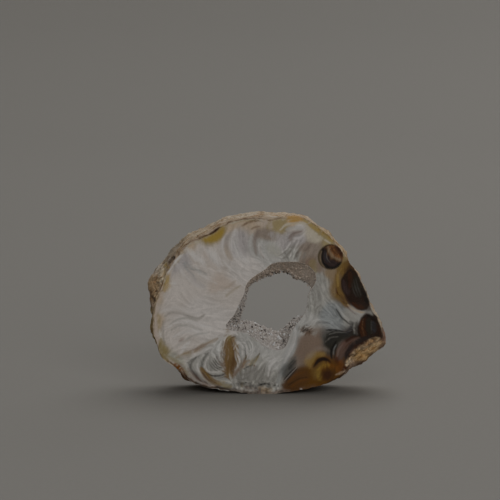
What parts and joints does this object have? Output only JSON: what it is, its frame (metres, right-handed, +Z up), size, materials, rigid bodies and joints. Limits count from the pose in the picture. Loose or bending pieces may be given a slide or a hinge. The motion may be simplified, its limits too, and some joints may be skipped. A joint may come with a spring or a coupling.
{
  "type": "plume agate slice with a crystal-lined hollow",
  "caption": "Sawn slice of plume agate with a rough rind and an open hollow lined with small quartz crystals; it stands on edge on a small flat spot.",
  "frame": {"origin": "on the surface that the stone stands on, under the middle of its bounding box", "axes": "+X to the right along the polished front face, the stone's longest way; +Y from the front face to the back face, through its thickness; +Z up"},
  "size_m": [0.0632, 0.014, 0.0478],
  "materials": {
    "agate": "polished cut faces of white, grey, ochre and brown banded agate, with a rough buff rind round the edge",
    "quartz_crystals": "fine sparkling druse of clear to greyish quartz points"
  },
  "bodies": {
    "root": {"agate_slice": "agate", "quartz_crust": "quartz_crystals"}
  },
  "joints": []
}
